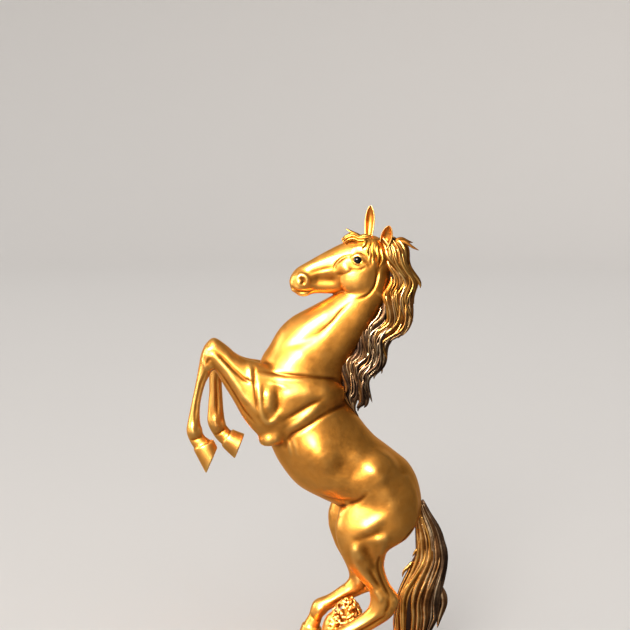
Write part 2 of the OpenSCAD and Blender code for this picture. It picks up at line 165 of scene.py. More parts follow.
class Clay:
    """Distance to the statue's surface, sampled every h millimetres in a block of space."""

    def __init__(self, low, high, h):
        self.h = h
        self.low = np.floor(np.array(low) / h).astype(int)
        self.size = np.ceil(np.array(high) / h).astype(int) - self.low
        self.field = np.full(self.size, 9.0, np.float32)

    def press(self, shape, k, add=True):
        """Adds a shape to the clay, or carves it out, with edges rounded over k millimetres."""
        points, triangles, quads = shape
        pad = k + 2.5 * self.h
        lo = np.maximum(np.floor((points.min(0) - pad) / self.h).astype(int), self.low)
        hi = np.minimum(np.ceil((points.max(0) + pad) / self.h).astype(int), self.low + self.size)
        if (hi <= lo).any():
            return
        grid = vdb.FloatGrid.createLevelSetFromPolygons(
            points.astype(np.float32), triangles=triangles.astype(np.uint32), quads=quads.astype(np.uint32),
            transform=vdb.createLinearTransform(self.h), halfWidth=pad / self.h + 1)
        d = np.empty(hi - lo, np.float32)
        grid.copyToArray(d, ijk=tuple(int(v) for v in lo))
        part = tuple(slice(a, b) for a, b in zip(lo - self.low, hi - self.low))
        f = self.field[part] if add else -self.field[part]
        near = np.maximum(k - np.abs(f - d), 0)
        f = np.minimum(f, d) - near * near / (4 * k + 1e-6)
        self.field[part] = f if add else -f

    def rub(self, points, width, heights):
        """Raises the surface near points by their heights, or sinks it where they are negative."""
        lo = np.maximum(np.floor((points.min(0) - 2.3 * width) / self.h).astype(int), self.low)
        hi = np.minimum(np.ceil((points.max(0) + 2.3 * width) / self.h).astype(int), self.low + self.size)
        if (hi <= lo).any():
            return
        rise = np.zeros(hi - lo, np.float32)
        axes = [np.arange(a, b) * self.h for a, b in zip(lo, hi)]
        for point, height in zip(points, np.abs(heights)):
            x, y, z = [np.exp(-((axis - c) / width) ** 2) for axis, c in zip(axes, point)]
            reach = [np.nonzero(v > 0.004)[0] for v in (x, y, z)]
            if min(len(r) for r in reach) == 0:
                continue
            box = tuple(slice(r[0], r[-1] + 1) for r in reach)
            near = height * x[box[0], None, None] * y[None, box[1], None] * z[None, None, box[2]]
            rise[box] = np.maximum(rise[box], near)
        part = tuple(slice(a, b) for a, b in zip(lo - self.low, hi - self.low))
        self.field[part] -= rise * np.sign(heights[0])

    def sample(self, field, p):
        """Field values at points, in between the samples."""
        q = np.clip(p / self.h - self.low, 0, np.array(self.size) - 1.001)
        i = q.astype(int)
        u = (q - i).astype(np.float32)
        value = np.zeros(len(p), np.float32)
        for corner in np.ndindex(2, 2, 2):
            w = np.prod(np.where(corner, u, 1 - u), axis=1)
            value += w * field[tuple((i + corner).T)]
        return value

    def normals(self, p):
        step = np.eye(3) * 0.8 * self.h
        g = np.stack([self.sample(self.field, p + e) - self.sample(self.field, p - e) for e in step], -1)
        return g / (np.linalg.norm(g, axis=1)[:, None] + 1e-9)

    def blurred(self, times):
        field = self.field
        for _ in range(times):
            for axis in range(3):
                field = np.moveaxis(field, axis, 0)
                field = np.concatenate([field[:1], (field[:-2] + field[1:-1] + field[2:]) / 3, field[-1:]])
                field = np.moveaxis(field, 0, axis)
        return field

    def relief(self, p, reach):
        """How far points stand above (+) or below (-) the surface around them, in millimetres."""
        times = max(1, round((reach / self.h) ** 2 / 1.5))
        return self.sample(self.blurred(times), p) - self.sample(self.field, p)

    def touch(self, x, z, side):
        """Where the surface lies at x and z, felt for from one side, or None if it isn't there."""
        y = (self.low[1] + np.arange(self.size[1])) * self.h
        column = self.sample(self.field, np.stack([x + 0 * y, y, z + 0 * y], -1))
        if side == RIGHT:
            y, column = y[::-1], column[::-1]
        inside = np.nonzero(column < 0)[0]
        if not len(inside) or inside[0] == 0:
            return None
        j = inside[0]
        share = column[j - 1] / (column[j - 1] - column[j])
        return y[j - 1] + share * (y[j] - y[j - 1])

    def surface(self):
        grid = vdb.FloatGrid()
        grid.copyFromArray(self.field)
        points, quads = grid.convertToQuads(0.0)
        return (points + self.low) * self.h, quads


# ---------------- the horse's measures

# Ribs are [front x, front z, back x, back z, middle y, half width, egg], in drawn millimetres.
TRUNK = [
    [-4, 250, 22, 266, 0, 7.5], [-14, 244.5, 22, 249, 0, 9, 0.05], [-27, 237.5, 16, 236, 0, 10.8, 0.08],
    [-38, 231.5, 8.5, 222, 0, 12.6, 0.08], [-46, 224, 1, 211, 0, 14.6, 0.04],
    [-52, 214, -5, 200.5, 0, 17, -0.02], [-57, 206, -6.5, 189, 0, 19.2, -0.08],
    [-60, 195, -3, 177.5, 0, 20.5, -0.18], [-60, 180, 3.5, 168.5, 0, 21, -0.12],
    [-56, 164, 8, 162.5, 0, 21.5, -0.08], [-51.5, 151, 14, 156, 0, 22.5, -0.05],
    [-45.5, 139, 20.5, 151, 0, 23.5], [-35.5, 126.5, 27.5, 145.5, 0, 23.5],
    [-22, 118.5, 34.5, 139.5, 0, 22], [-9, 112.5, 39.5, 131, 0, 21, 0.05],
    [4, 106, 42.5, 120, 0, 20.5, 0.05], [16, 101, 43, 110, 0, 17.5], [28, 98, 41.5, 104, 0, 11.5],
    [35, 98.5, 39, 101, 0, 5]
]
HEAD = [
    [15, 260, 19, 274, 0, 5], [13.5, 254, 15, 280, 0, 8], [8.5, 248, 10, 281.5, 0, 9.2],
    [2.5, 245, 4, 280.5, 0, 9.3, 0.08], [-5, 245, -3, 278.5, 0, 8.4, 0.1], [-12, 245.8, -9, 276, 0, 7, 0.1],
    [-18, 246, -15, 273, 0, 5.9, 0.08], [-24, 246, -22, 269.2, 0, 5.2],
    [-29.5, 244.8, -29, 265.2, 0, 5.4, -0.1], [-33.5, 245, -35, 261.6, 0, 5.6, -0.15],
    [-37.3, 247.2, -38.4, 257.6, 0, 4.4], [-39.2, 250, -39.8, 253.8, 0, 2.2]
]
LEFT_FORELEG = [
    [-6, 189, -6, 182, -7, 2.5], [-16, 194, -15, 177, -11.5, 7], [-28, 198, -27, 169.5, -12, 9.3],
    [-40, 200.5, -38, 160, -12.5, 10], [-50, 203, -48, 155.5, -13, 9.8],
    [-59.5, 206.2, -57, 159.5, -14, 9.4], [-66, 207.8, -66.5, 170, -14, 8.6],
    [-71.5, 210.8, -74, 183.3, -14, 7.6], [-77, 215.8, -79, 191.5, -14, 6.7],
    [-84.5, 220.6, -83.5, 199.5, -14, 6.3], [-89.5, 217.3, -84.8, 201, -14, 6.1],
    [-92.6, 211, -86.2, 200.2, -14, 5.6], [-94.2, 203, -87.6, 197.6, -14, 4.6],
    [-96, 194, -90.6, 191.8, -14, 3.7], [-98.6, 182, -93.4, 181, -14, 3.3],
    [-100.8, 172, -94, 171.2, -14, 3.5], [-102.2, 163.5, -93, 164, -14, 4.5],
    [-100.3, 157, -91.2, 160, -14, 4], [-97.2, 151.8, -87.4, 157, -14, 4.6],
    [-93.5, 145.5, -85.5, 154.8, -14, 4.6]
]
RIGHT_FORELEG = [
    [-6, 189, -6, 182, 7, 2.5], [-16, 194, -15, 177, 11.5, 7], [-28, 198, -27, 169.5, 12, 9.3],
    [-40, 199.5, -38, 160.5, 12.3, 10], [-50, 200.5, -48, 157, 12.5, 9.6],
    [-59.5, 202.5, -57, 164, 13, 9.2], [-66, 203.5, -66.5, 174.5, 13, 8.4], [-72, 205.5, -73, 184, 13, 7.4],
    [-78, 209.5, -78, 190, 13, 6.6], [-84, 212.5, -80.6, 194, 13, 6.2], [-89, 209, -81.8, 194.6, 13, 5.9],
    [-91, 202, -82.7, 193.2, 13, 5.2], [-91.1, 197.5, -83, 191.3, 13, 4.6], [-91.2, 191, -83.1, 187, 13, 4],
    [-91.3, 182, -82.8, 179.5, 13, 3.6], [-92.2, 171, -82.2, 169.5, 13, 3.7],
    [-92.4, 161.5, -81.2, 161.5, 13, 4.6], [-88, 152.6, -79.6, 158.8, 13, 4],
    [-83, 147.4, -77.4, 156.2, 13, 4.6], [-79.2, 143.4, -74.6, 154.6, 13, 4.6]
]
LEFT_HIND = [
    [10, 141, 33, 134, -11, 5], [1, 131, 38, 124, -11.5, 8.5], [-7, 117, 39, 112.5, -12, 10.3],
    [-11, 106, 37.3, 103.5, -13, 10.8], [-11.3, 99, 33, 98, -13.3, 10.6],
    [-10.3, 93, 26.8, 92.5, -13.3, 10], [-8.4, 87.3, 20.9, 86.7, -13.3, 9.1],
    [-5, 79.8, 19.2, 81, -13.2, 7.9], [-0.6, 73.6, 19, 76.4, -13.1, 6.7], [4, 68, 20.5, 70.5, -13, 5.8],
    [8.6, 63.4, 23.2, 64.5, -13, 5.1], [10.3, 58, 27.3, 58.9, -13, 5.3], [10.2, 52.6, 28.4, 54.4, -13, 5.5],
    [8.2, 48.4, 24.5, 45, -13, 5], [3.3, 44.3, 14.5, 37.4, -13, 4.1], [-3.2, 40, 4.2, 31.6, -13, 3.8],
    [-11.8, 35, -3.6, 26.4, -13, 4.7], [-16.4, 29.6, -7.6, 23.6, -13, 4.2], [-18.6, 25, -8, 21.8, -13, 4.8],
    [-20, 20, -8.6, 18.6, -13, 4.8]
]
RIGHT_HIND = [
    [10, 141, 33, 134, 11, 5], [0, 131, 37, 124, 11.5, 8.5], [-10, 117, 37, 112, 12, 10],
    [-15, 105, 34, 102, 13, 10.8], [-15.3, 96, 28, 94.5, 13.2, 10.4], [-14.6, 92, 24.5, 91.2, 13.2, 10],
    [-13.5, 88.5, 21, 88, 13.2, 9.6], [-10.5, 80.5, 15, 81, 13.2, 8.2], [-6.5, 73, 12.6, 75, 13.1, 6.8],
    [-3.2, 66, 12.4, 68.6, 13, 5.9], [-1.8, 61, 14, 63, 13, 5.1], [-2.2, 57.8, 16.4, 58.2, 13, 5.4],
    [-4.5, 54.8, 14.4, 51.8, 13, 5.3], [-7, 53, 6.5, 47.5, 13, 4.7], [-9.7, 51, -1.6, 43.6, 13, 4.1],
    [-15.8, 46.8, -10, 39.4, 13, 3.9], [-24.8, 42.4, -17.6, 34.2, 13, 4.7],
    [-28.2, 33.2, -20, 28.6, 13, 4.2], [-31.8, 26.8, -21.2, 23.8, 13, 4.8], [-34, 21, -22, 19.6, 13, 4.8]
]
# A hoof's ribs, from the coronet to the sole.
LEFT_FORE_HOOF = [
    [-98.2, 152.2, -86.2, 157.8, -14, 5.4], [-97, 149.4, -85, 155.8, -14, 5.9],
    [-90.6, 136.6, -83.6, 152.6, -14, 6.7]
]
RIGHT_FORE_HOOF = [
    [-83.8, 147.2, -76.6, 157.6, 13, 5.4], [-82, 144.8, -74.8, 156.6, 13, 5.9],
    [-75.4, 138.4, -69, 154.4, 13, 6.7]
]
LEFT_HIND_HOOF = [
    [-19.2, 26, -6.6, 22.6, -13, 5.2], [-20, 23, -6.8, 20.6, -13, 5.7],
    [-23.4, GROUND_TOP, -7.2, GROUND_TOP, -13, 6.9]
]
RIGHT_HIND_HOOF = [
    [-32.4, 27.6, -19.6, 24.4, 13, 5.2], [-33.4, 24.6, -19.8, 21.6, 13, 5.7],
    [-37.4, GROUND_TOP, -21.2, GROUND_TOP, 13, 6.9]
]

# The flat joints between the castings: [x, z, tilt about Y].
NECK_JOINT = (-30, 197, 6.5)
FORELEG_JOINT = (-58.5, 183, -8.7)
HIND_JOINT = (13, 105.5, 15)


# Strokes on the horse's sides: (points (x, z), width, height); a groove's height is negative.
BODY_STROKES = [
    # Neck and chest.
    ([(-2.6, 241.2), (-8, 236.5), (-14, 229.5), (-22.5, 222)], 0.9, -0.6),
    ([(-16, 228), (-24, 221.6), (-33, 217.6), (-42, 215)], 2.8, -0.6),
    ([(-14, 237), (-24, 231), (-34, 225)], 4.5, 0.6),
    ([(-30, 211), (-40, 206)], 5, 0.6),
    ([(10, 240), (2, 228), (-6, 216), (-14, 206)], 4, 0.5),
    ([(18.4, 270), (16.6, 264.5), (15.6, 259), (14, 252)], 1, 0.5),
    ([(14, 247), (17.6, 244), (20, 242)], 0.8, 0.6),
    # The shoulder's outline and its folds.
    ([(-57.5, 201.4), (-48, 199.6), (-40, 198.6), (-28, 197.6), (-18, 196.2), (-11, 194), (-7, 189)],
     1.1, -0.65),
    ([(-56, 198.6), (-48, 197), (-40, 196), (-28, 195)], 1.6, 0.5),
    ([(-52, 194.4), (-46, 193), (-40, 191)], 1.2, 0.6),
    ([(-60.2, 204), (-59.8, 196), (-59, 186), (-57.2, 174.5)], 0.85, -0.7),
    ([(-57.4, 194), (-56.9, 184), (-55.6, 175.4), (-52.4, 170.6), (-48.4, 171.6), (-45.2, 176.4)], 1.6, 1.3),
    ([(-51.6, 189), (-51.6, 178.6)], 3, 1.5),
    ([(-54.8, 190), (-54.6, 179)], 0.8, -0.6),
    ([(-46.6, 191.5), (-45.6, 184), (-46.6, 177)], 2.2, -0.9),
    ([(-63, 204.5), (-62.8, 199.5), (-62.2, 194)], 1.1, 0.7),
    ([(-42, 186), (-33, 188), (-24, 189)], 4.5, 0.8),
    # Triceps, elbow and the skin behind it.
    ([(-41, 165), (-34, 170), (-28, 174.6), (-21.5, 179.4)], 2, 1.3),
    ([(-43, 171.6), (-35, 176.2), (-27, 181), (-19, 184.4)], 1.6, -1),
    ([(-53.5, 158.6), (-49, 157.4), (-45.4, 159)], 3, 1.3),
    ([(-42.4, 153), (-38.4, 161.6), (-32, 165.8), (-26, 169.6), (-19, 174), (-12, 176.9), (-5, 178)],
     1.2, -1.2),
    ([(-40.6, 158.5), (-39.2, 154), (-38.2, 149)], 1, 0.9),
    ([(-37, 159), (-35.6, 154.4), (-34.6, 149)], 1, 0.6),
    # Ribs, belly and flank.
    ([(-24, 154), (-18, 148)], 9.5, 3.2),
    ([(-38, 141), (-26, 131), (-12, 127)], 6, 0.8),
    ([(-22, 123.8), (-14, 121.4), (-7, 120.6), (0, 122)], 1.1, -0.5),
    ([(-9, 145), (0, 138)], 7, -2),
    ([(-9.4, 112.6), (-6, 116.4), (-1.5, 119), (3, 121.6), (7.4, 126.4)], 1.2, -1.2),
    ([(-12, 115.6), (-8.8, 114), (-8.2, 110.6)], 1.2, 1.1),
    # Hip, rump and thigh.
    ([(11, 141), (17, 135)], 5.5, 2),
    ([(19, 127), (25, 117)], 6, 1.4),
    ([(4, 103.5), (11, 107.4), (18.5, 112)], 3.4, 1),
    ([(-1, 96.4), (8, 100), (17, 104)], 2.4, -0.6),
    ([(14, 97.2), (20, 99)], 2.4, 1.1),
    ([(36.8, 103), (32.4, 97.6), (28.4, 92.6), (25.4, 88.6)], 1, -1.5),
    ([(0, 92), (3.5, 85)], 2.6, 1.2),
    ([(5, 96), (9, 86), (14, 75)], 3, -1.3),
    ([(18, 96), (16.6, 86)], 3, 0.9),
]
HEAD_STROKES = [
    ([(-3, 269.8), (-7.6, 268), (-11.3, 264.4), (-12.6, 260.4)], 0.8, -0.95),
    ([(-6.6, 263.4), (-5, 261.4)], 2.9, 1.4),
    ([(-1.4, 260.4), (-8, 258.4), (-12, 258)], 1, -0.45),
    ([(-25, 255), (-18, 254.8), (-11.4, 255)], 3.2, -1.7),
    ([(-28, 258.6), (-20, 260.8), (-13, 262.6)], 1.2, -0.5),
    ([(-30, 262), (-20, 266), (-10, 270)], 2, 0.4),
    ([(-35.2, 255.4), (-33.2, 257.8), (-30.4, 257.6), (-28.4, 255.2), (-28.8, 252)], 0.9, 0.8),
    ([(-34.4, 254.2), (-33.4, 251.8), (-31, 250.8)], 0.8, 0.45),
    ([(-32.8, 255.8), (-31.2, 255), (-31, 253.2), (-32.2, 252.4)], 0.8, -1.5),
    ([(-38.8, 250.4), (-35.5, 248.4), (-31.5, 247.5), (-27.5, 247.9), (-24.5, 249.2)], 0.6, -0.85),
    ([(-37, 251.4), (-33, 249.4), (-28.6, 249.6)], 0.9, 0.4),
    ([(-36, 246.6), (-32.4, 245.4), (-28, 246)], 0.9, 0.4),
    ([(-4, 267.4), (-2, 270.4), (2.2, 271.8), (6.6, 270)], 0.7, -0.7),
    ([(5, 266.2), (7.4, 265), (9, 262.6)], 0.7, -0.5),
    ([(-4.6, 262.6), (-1, 261.3), (3, 261.1), (6.6, 263)], 0.7, -0.45),
    ([(-3, 273.2), (2.6, 274.8), (7, 273)], 1.3, 0.5),
    ([(12.8, 262), (13.4, 257), (11.6, 250.4), (7.4, 245.6), (1, 243.4)], 0.75, -0.9),
    ([(12, 276), (11.6, 270), (11.2, 264)], 0.8, 0.6),
    ([(8.8, 277), (9.2, 271.4), (8.8, 266)], 0.6, 0.5),
    ([(10.2, 276), (10.3, 270), (10, 264)], 0.6, -0.5),
]
# Strokes on the legs: (points (rib number, -1 at the front to 1 at the back), width, height).
FORELEG_STROKES = [
    ([(4.8, -0.5), (6, -0.42), (7.6, -0.36), (9.2, -0.34)], 1.1, -0.9),
    ([(4.8, 0.3), (6, 0.12), (7.6, 0), (9.4, 0)], 2, 0.9),
    ([(5.2, 0.66), (6.4, 0.6), (8, 0.56), (9.2, 0.56)], 1, -0.7),
    ([(9.5, -0.55), (10.1, -0.62), (10.7, -0.52)], 1.5, 0.7),
    ([(9.9, 0.62), (10.5, 0.74), (11, 0.66)], 1.4, 0.8),
    ([(9.7, 0.14), (10.3, 0.05), (10.9, 0.12)], 1, -0.55),
    ([(11.1, -0.6), (11.3, 0), (11.2, 0.5)], 0.9, 0.4),
    ([(11.6, 0.34), (13, 0.22), (14, 0.22), (15.3, 0.3)], 0.8, -1),
    ([(11.6, -0.3), (13, -0.3), (14, -0.3), (15.2, -0.3)], 0.9, 0.4),
    ([(11.7, 0.7), (13, 0.68), (15, 0.7)], 0.8, 0.35),
    ([(15.5, -0.2), (16, -0.05), (16.3, 0.1)], 1.7, 0.8),
    ([(15.8, 0.8), (16.2, 0.85)], 1.4, 0.8),
    ([(16.8, -0.9), (16.9, 0), (16.8, 0.9)], 0.8, -0.6),
    ([(17.7, -0.9), (17.9, 0), (17.7, 0.9)], 0.8, 0.35),
]
HIND_LEG_STROKES = [
    ([(5, -0.5), (6.4, -0.46), (8, -0.36), (9.6, -0.2)], 2, 0.8),
    ([(7.4, 0.1), (8.6, 0.14), (9.8, 0.2)], 1.3, -0.9),
    ([(6, 0.64), (7.4, 0.64), (8.8, 0.6), (10.8, 0.5)], 1, -1.3),
    ([(10.2, -0.4), (10.8, -0.3), (11.4, -0.3)], 2, 0.9),
    ([(11.2, 0.76), (11.8, 0.8), (12.3, 0.72)], 1.9, 0.8),
    ([(11.2, 0.3), (12, 0.24), (12.7, 0.28)], 1.2, -0.8),
    ([(12.8, 0.32), (13.6, 0.26), (14.4, 0.24), (15.3, 0.28)], 0.9, -1.1),
    ([(12.6, -0.35), (13.6, -0.3), (14.4, -0.3), (15.3, -0.3)], 1.2, 0.5),
    ([(15.6, -0.1), (16, 0), (16.4, 0.1)], 1.9, 0.9),
    ([(15.8, 0.8), (16.2, 0.85)], 1.5, 0.8),
    ([(16.8, -0.9), (16.9, 0), (16.8, 0.9)], 0.8, -0.6),
    ([(17.7, -0.9), (17.9, 0), (17.7, 0.9)], 0.8, 0.35),
]


def press(shape, k, add=True):
    return partial(Clay.press, shape=shape, k=k, add=add)


def press_both(shape, k, add=True):
    """A shape drawn on the right side, and its mirror image on the left."""
    points, triangles, quads = shape
    return [press((points * [1, side, 1], triangles, quads), k, add) for side in (LEFT, RIGHT)]


def eyelid(rise, radius):
    """A lid over the right eyeball, arched up or down from corner to corner."""
    centre, reach = (1.6, 8.1, 267), 2.75
    a = np.linspace(0.02 * np.pi, 0.98 * np.pi, 24)
    x, z = 3.1 * np.cos(a), rise * np.sin(a) - 0.12 * np.cos(a) * 3
    y = np.sqrt(np.maximum(reach ** 2 - 0.6 * x ** 2 - z ** 2, 0.6))
    path = np.stack([centre[0] + x, centre[1] + y, centre[2] + z], -1)
    return tube(path, radius * (0.55 + 0.45 * np.sin(a)))


# Swellings on both sides: (centre, radii, tilt, how far their edges are rounded).
SWELLINGS = {
    "cheek": ((2, 5.4, 255.2), (10.8, 4.8, 10.8), 0, 1.3),
    "nostril": ((-31.6, 2.8, 254.6), (4.8, 3, 4.6), 20, 2.4),
    "upper lip": ((-35, 2.2, 249.4), (3.6, 2.4, 2), -20, 1.2),
    "lower lip": ((-31, 1.6, 246.4), (4, 2.6, 2), 0, 1.2),
    "base of the ear": ((11, 4.6, 274.5), (5.5, 4.5, 5.5), 0, 2.5),
    "brow": ((2.6, 6.2, 269), (5.6, 3, 3.4), 12, 1.8),
    "elbow": ((-50.5, 15.6, 160), (8, 5, 5), -25, 3),
    "hip": ((13, 13, 134), (12, 7.4, 15), 20, 6),
    "buttock": ((24, 11, 106.5), (12.6, 10.4, 15), 0, 5),
}
# The cleft of the rump, from under the tail down between the thighs.
CLEFT = np.array([(45, 0, 111), (43, 0, 106), (39.5, 0, 101), (35, 0, 97), (29, 0, 93), (22, 0, 90)], float)


def bare_horse():
    """The steps that make the horse, before any muscles or wrinkles are drawn on it."""
    steps = [press(loft(TRUNK), 3.5), press(loft(HEAD), 1.2), press(ball((13, 0, 262), (7, 6, 9)), 2),
             press(ball((18, 0, 268), (5.4, 6, 9), -10), 3)]
    for ribs in (LEFT_FORELEG, RIGHT_FORELEG, LEFT_HIND, RIGHT_HIND):
        steps.append(press(loft(ribs), 2.4))
    for ribs in (LEFT_FORE_HOOF, RIGHT_FORE_HOOF, LEFT_HIND_HOOF, RIGHT_HIND_HOOF):
        steps.append(press(loft(ribs, steps=3), 0.3))
    for centre, radii, tilt, k in SWELLINGS.values():
        steps += press_both(ball(centre, radii, tilt), k)
    steps.append(press(tube(CLEFT, np.full(len(CLEFT), 0.9)), 3.5, False))
    steps += press_both(ball((2, 10.8, 267), (4.2, 1.8, 3), 8), 0.8, False)    # eye socket
    steps += press_both(eyelid(2.6, 0.6), 0.35) + press_both(eyelid(-2.4, 0.45), 0.35)
    return steps


def rub(points, width, height):
    """A stroke along a curve through points, fading towards both ends."""
    curve = spline(points, 12)
    along = np.append(0, np.cumsum(np.linalg.norm(np.diff(curve, axis=0), axis=1)))
    t = np.linspace(0, 1, 2 + int(along[-1] / (0.2 * width)))
    path = np.stack([np.interp(t * along[-1], along, c) for c in curve.T], -1)
    fade = np.clip(np.minimum(t, 1 - t) / 0.28 + 0.2, 0, 1)
    return partial(Clay.rub, points=path, width=width, heights=height * fade)


def body_stroke(rough, points, width, height, side):
    """A stroke on one side of the body, where the rough clay can be felt under two points or more."""
    felt = [(x, rough.touch(x, z, side), z) for x, z in points]
    felt = [p for p in felt if p[1] is not None]
    if len(felt) < 2:
        return []
    return [rub(felt, width, height)]


def leg_stroke(ribs, points, width, height, side):
    """A stroke along one side of a leg, at shares of its ribs."""
    number, share = spline(points, 3).T
    ribs = np.array([list(rib)[:6] for rib in ribs], float)
    numbers = np.arange(len(ribs))
    front_x, front_z, back_x, back_z, y, half_y = [np.interp(number, numbers, v) for v in ribs.T]
    x = front_x + (back_x - front_x) * (share + 1) / 2
    z = front_z + (back_z - front_z) * (share + 1) / 2
    path = np.stack([x, y + side * half_y * np.sqrt(1 - share ** 2), z], -1)
    return rub(path, width, height)


def sculpt():
    """All the steps that shape the horse, its strokes last."""
    steps = bare_horse()
    rough = Clay((-108, -30, 10), (48, 30, 290), 1)
    for step in steps:
        step(rough)
    for side in (LEFT, RIGHT):
        for stroke in BODY_STROKES + HEAD_STROKES:
            steps += body_stroke(rough, *stroke, side)
        for stroke in FORELEG_STROKES:
            steps += [leg_stroke(ribs, *stroke, side) for ribs in (LEFT_FORELEG, RIGHT_FORELEG)]
        for stroke in HIND_LEG_STROKES:
            steps += [leg_stroke(ribs, *stroke, side) for ribs in (LEFT_HIND, RIGHT_HIND)]
    return steps


# ---------------- pieces

def add_object(name, mesh, material, replaces):
    obj = bpy.data.objects.new(name, mesh)
    bpy.context.scene.collection.objects.link(obj)
    mesh.materials.append(material)
    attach(obj, "root")
    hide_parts(replaces)
    return obj


# The mane's edge on the neck and its outer edge, (x, z) from the poll to the withers.
CREST = [
    (17, 280), (21, 271), (22, 262), (22.5, 252), (19.5, 243), (14, 233), (8, 224), (2, 214.5), (-3, 206),
    (-6.5, 197), (-7, 188), (-5, 181)
]
OUTER = [
    (27, 280), (33, 271), (35, 260), (38.5, 250), (37, 236), (31, 223), (23, 212), (18, 202), (14, 192),
    (9, 183), (6, 175), (2.5, 170)
]
# Painted shade on the neck beside the mane: how far it reaches, and how dark it is at the mane itself.
MANE_SHADE_REACH, MANE_SHADE_DEPTH = 7.5, 0.24              # in millimetres, and as relief lost at the mane itself


def painted_shade_by_mane(co):
    """How much painted shade darkens the neck beside the mane, 0 to 1."""
    line = spline(CREST, 4)
    away = np.min(np.hypot(co[:, None, 0] - line[None, :, 0], co[:, None, 2] - line[None, :, 1]), axis=1)
    return np.exp(-(away / MANE_SHADE_REACH) ** 2)


def write_values(mesh, name, values):
    mesh.attributes.new(name, "FLOAT", "POINT").data.foreach_set("value", np.asarray(values, np.float32))


def past(joint, way):
    """The half space on one side of a joint, as (point, outward normal)."""
    x, z, tilt = joint
    a = math.radians(tilt)
    along = {"up": (math.sin(a), 0, math.cos(a)), "back": (math.cos(a), 0, -math.sin(a))}[way.strip("-")]
    sign = 1 if way.startswith("-") else -1
    return (x, 0, z), [sign * v for v in along]


def casting(name, clay, steps, keep):
    """One casting: the horse's surface in a block, cut flat at its joints."""
    for step in steps:
        step(clay)
    clay.field = clay.blurred(1)
    points, quads = clay.surface()
    mesh = bpy.data.meshes.new(name)
    mesh.from_pydata(points.tolist(), [], quads.tolist())
    bm = bmesh.new()
    bm.from_mesh(mesh)
    for point, outward in keep:
        bmesh.ops.bisect_plane(bm, geom=bm.verts[:] + bm.edges[:] + bm.faces[:], plane_co=point,
                               plane_no=outward, clear_outer=True)
        bmesh.ops.holes_fill(bm, edges=[e for e in bm.edges if e.is_boundary], sides=0)
    bmesh.ops.recalc_face_normals(bm, faces=bm.faces)
    bm.to_mesh(mesh)
    bm.free()
    co = np.empty(len(mesh.vertices) * 3, np.float32)
    mesh.vertices.foreach_get("co", co)
    co = co.reshape(-1, 3)
    normals = clay.normals(co)
    facing = sum(f.normal.dot(Vector(normals[f.vertices[0]])) for f in mesh.polygons[:3000])
    if facing < 0:
        mesh.flip_normals()
    # The relief also carries painted shade on the neck beside the mane, which browns the gold there.
    write_values(mesh, "relief", clay.relief(co, 1.6) - MANE_SHADE_DEPTH * painted_shade_by_mane(co))
    mesh.transform(((MM, 0, 0, 0), (0, MM, 0, 0), (0, 0, MM, 0), (0, 0, 0, 1)))
    mesh.shade_smooth()
    mesh.normals_split_custom_set_from_vertices(normals.tolist())
    return mesh


def build_horse(gold):
    """The six castings, each shaped in a block of its own and cut at the joints around it."""
    steps = sculpt()
    above_neck, below_neck = past(NECK_JOINT, "up"), past(NECK_JOINT, "-up")
    behind_foreleg, before_foreleg = past(FORELEG_JOINT, "back"), past(FORELEG_JOINT, "-back")
    above_hind, below_hind = past(HIND_JOINT, "up"), past(HIND_JOINT, "-up")
    blocks = [
        ("neck_and_head", (-66, -27, 186), (30, 27, 288), FINE, [above_neck, behind_foreleg]),
        ("torso", (-70, -31, 86), (48, 31, 210), COARSE, [below_neck, behind_foreleg, above_hind]),
        ("left_foreleg", (-108, -29, 130), (-54, 2, 226), FINE, [before_foreleg]),
        ("right_foreleg", (-108, 0, 130), (-54, 29, 226), FINE, [before_foreleg]),
        ("left_hind_leg", (-30, -31, 10), (46, 0, 112), MEDIUM, [below_hind]),
        ("right_hind_leg", (-44, 0, 10), (46, 31, 112), MEDIUM, [below_hind]),
    ]
    for name, low, high, h, keep in blocks:
        mesh = casting(name, Clay(low, high, h), steps, keep)
        add_object(name, mesh, gold, name + "_casting")


# ---------------- hair

def lock(path, width, depth, strands, phase):
    """One lock of hair along a path: a flattened bar with strands combed along it, ending in a point.
    Returns its shape and, for each point, how far it is up its strand and off the lock's edges."""
    n = len(path)
    t = np.linspace(0, 1, n)[:, None]
    side, out = frames(path)
    full = np.clip(4.5 * t + 0.05, 0, 1) ** 0.6 * np.clip(1 - t ** 2.4, 0, 1) ** 0.75 + 0.02
    a = turn(6 * strands)
    crest = 0.5 + 0.5 * np.cos(strands * a + phase + 1.2 * np.sin(2.6 * t + phase))
    swell = full * (0.78 + 0.22 * crest)
    ring = side[:, None] * (width * swell * np.cos(a))[..., None]
    ring = ring + out[:, None] * (depth * swell * np.sin(a))[..., None]
    shape = skin(path[:, None] + ring)
    top = 0.55 * crest + 0.45 * np.sin(a) ** 2 * np.ones_like(t)
    return shape, np.append(top.ravel(), [0, 0])


def wave(root, tip, bow, sway, phase, y_root, y_tip, y_bow=0.0, n=22):
    """A path from root to tip, (x, z) each, that bows to one side and sways about that bow."""
    t = np.linspace(0, 1, n)
    root, tip = np.array(root, float), np.array(tip, float)
    line = root + (tip - root) * t[:, None]
    along = (tip - root) / np.linalg.norm(tip - root)
    across = np.array([-along[1], along[0]])
    off = bow * np.sin(np.pi * t) + sway * np.sin(2 * np.pi * t + phase) * np.minimum(1, 2 * t)
    line = line + across * off[:, None]
    y = y_root + (y_tip - y_root) * t + y_bow * np.sin(np.pi * t)
    return np.stack([line[:, 0], y, line[:, 1]], -1)


def between(inner, outer, k, share):
    """The x and z that lie a share of the way from one edge of the hair to the other, k steps along."""
    steps = np.arange(len(inner))
    return [np.interp(k, steps, inner[:, c]) * (1 - share) + np.interp(k, steps, outer[:, c]) * share
            for c in (0, 1)]


